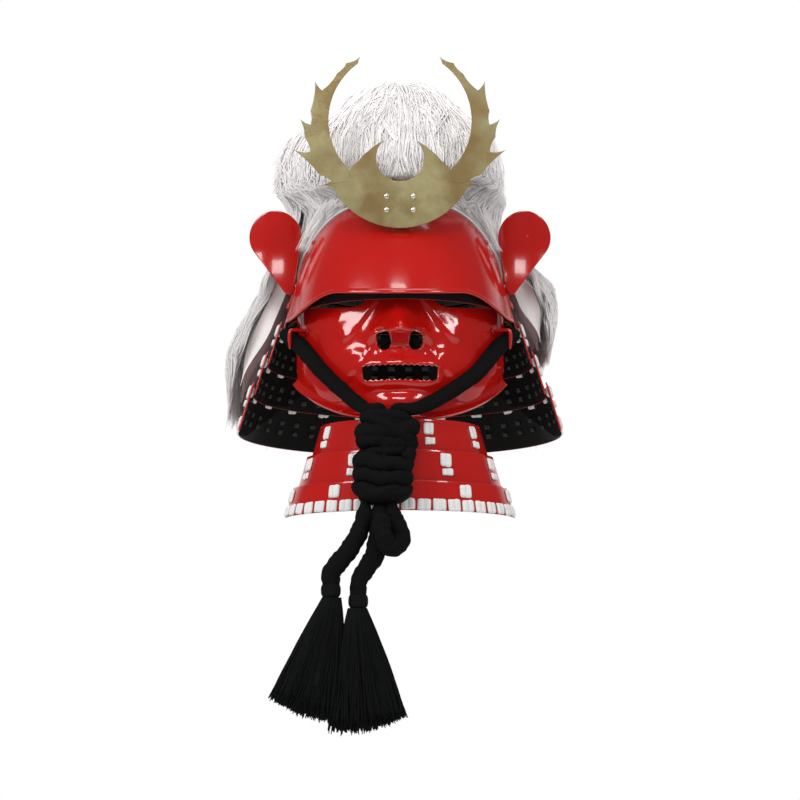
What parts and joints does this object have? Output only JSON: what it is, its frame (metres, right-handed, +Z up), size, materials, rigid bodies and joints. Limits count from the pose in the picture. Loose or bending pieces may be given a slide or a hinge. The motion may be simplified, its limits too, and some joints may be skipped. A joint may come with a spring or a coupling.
{
  "type": "samurai helmet",
  "caption": "Red lacquered samurai helmet with a gilt crest, white hair, laced neck guard, face mask, throat guard and tasselled chin cord.",
  "frame": {"origin": "centre of the head opening, level with the lower edge of the bowl and its base band", "axes": "-Y is the way the helmet faces, +X is to the right of someone who looks at its face, +Z is up"},
  "size_m": [0.2953, 0.3289, 0.5893],
  "materials": {
    "red_lacquer": "high gloss red lacquer on steel plate",
    "gilt_brass": "satin, faintly mottled brass",
    "white_lace": "flat braided lace",
    "black_cord": "padded, wrinkled cloth cord",
    "black_tassel": "bundles of fine thread",
    "white_hair": "long loose animal hair",
    "hair_cap_cloth": "woven cap that the hair is sewn to",
    "liner_cloth": "quilted dark cloth"
  },
  "bodies": {
    "helmet": {"bowl": "red_lacquer", "visor": "red_lacquer", "visor_rivets": "red_lacquer", "base_band": "red_lacquer", "base_band_rivets": "red_lacquer", "neck_lame_1": "red_lacquer", "turn_back_left": "red_lacquer", "turn_back_right": "red_lacquer", "turn_back_rivets": "red_lacquer", "mask": "red_lacquer", "cord_hook_left": "red_lacquer", "cord_hook_right": "red_lacquer", "throat_lame_1": "red_lacquer", "liner": "liner_cloth", "liner_hem": "liner_cloth", "hair_crown": "white_hair", "hair_left": "white_hair", "hair_right": "white_hair", "hair_back": "white_hair", "hair_cap": "hair_cap_cloth", "crest_prong": "gilt_brass", "cord_ring_left": "gilt_brass", "cord_ring_right": "gilt_brass", "ring_staples": "gilt_brass", "neck_lacing_1": "white_lace", "throat_lacing_1": "white_lace", "chin_cord_left": "black_cord", "chin_cord_right": "black_cord", "chin_knot": "black_cord"},
    "crest": {"crest_plate": "gilt_brass", "crest_socket": "gilt_brass", "crest_rivets": "gilt_brass"},
    "neck_ring_2": {"neck_lame_2": "red_lacquer", "neck_lacing_2": "white_lace"},
    "neck_ring_3": {"neck_lame_3": "red_lacquer", "neck_lacing_3": "white_lace"},
    "neck_ring_4": {"neck_lame_4": "red_lacquer", "neck_lacing_4": "white_lace", "neck_edge_knots": "white_lace"},
    "throat_ring_2": {"throat_lame_2": "red_lacquer", "throat_lacing_2": "white_lace"},
    "throat_ring_3": {"throat_lame_3": "red_lacquer", "throat_lacing_3": "white_lace", "throat_edge_knots": "white_lace"},
    "tassels": {"cord_stem": "black_cord", "cord_winding": "black_cord", "cord_bow": "black_cord", "cord_tail_left": "black_cord", "cord_tail_right": "black_cord", "tassel_head_left": "black_tassel", "tassel_head_right": "black_tassel", "tassel_left": "black_tassel", "tassel_right": "black_tassel"}
  },
  "joints": [
    {"name": "crest_lift", "type": "slide", "parent": "helmet", "child": "crest", "axis": [0, 0, 1], "range_m": [0, 0.036]},
    {"name": "neck_lift_2", "type": "slide", "parent": "helmet", "child": "neck_ring_2", "axis": [0, 0, 1], "range_m": [0, 0.015], "deforming": ["hair_left", "hair_right", "hair_back"]},
    {"name": "neck_lift_3", "type": "slide", "parent": "neck_ring_2", "child": "neck_ring_3", "axis": [0, 0, 1], "range_m": [0, 0.015], "deforming": ["hair_left", "hair_right", "hair_back"]},
    {"name": "neck_lift_4", "type": "slide", "parent": "neck_ring_3", "child": "neck_ring_4", "axis": [0, 0, 1], "range_m": [0, 0.015], "deforming": ["hair_left", "hair_right", "hair_back"]},
    {"name": "throat_lift_2", "type": "slide", "parent": "helmet", "child": "throat_ring_2", "axis": [0, 0, 1], "range_m": [0, 0.014]},
    {"name": "throat_lift_3", "type": "slide", "parent": "throat_ring_2", "child": "throat_ring_3", "axis": [0, 0, 1], "range_m": [0, 0.014]},
    {"name": "tassel_swing", "type": "hinge", "parent": "helmet", "child": "tassels", "pos_m": [-0.012, -0.148, -0.1306], "axis": [-1, 0, 0], "range_deg": [0, 35]}
  ]
}
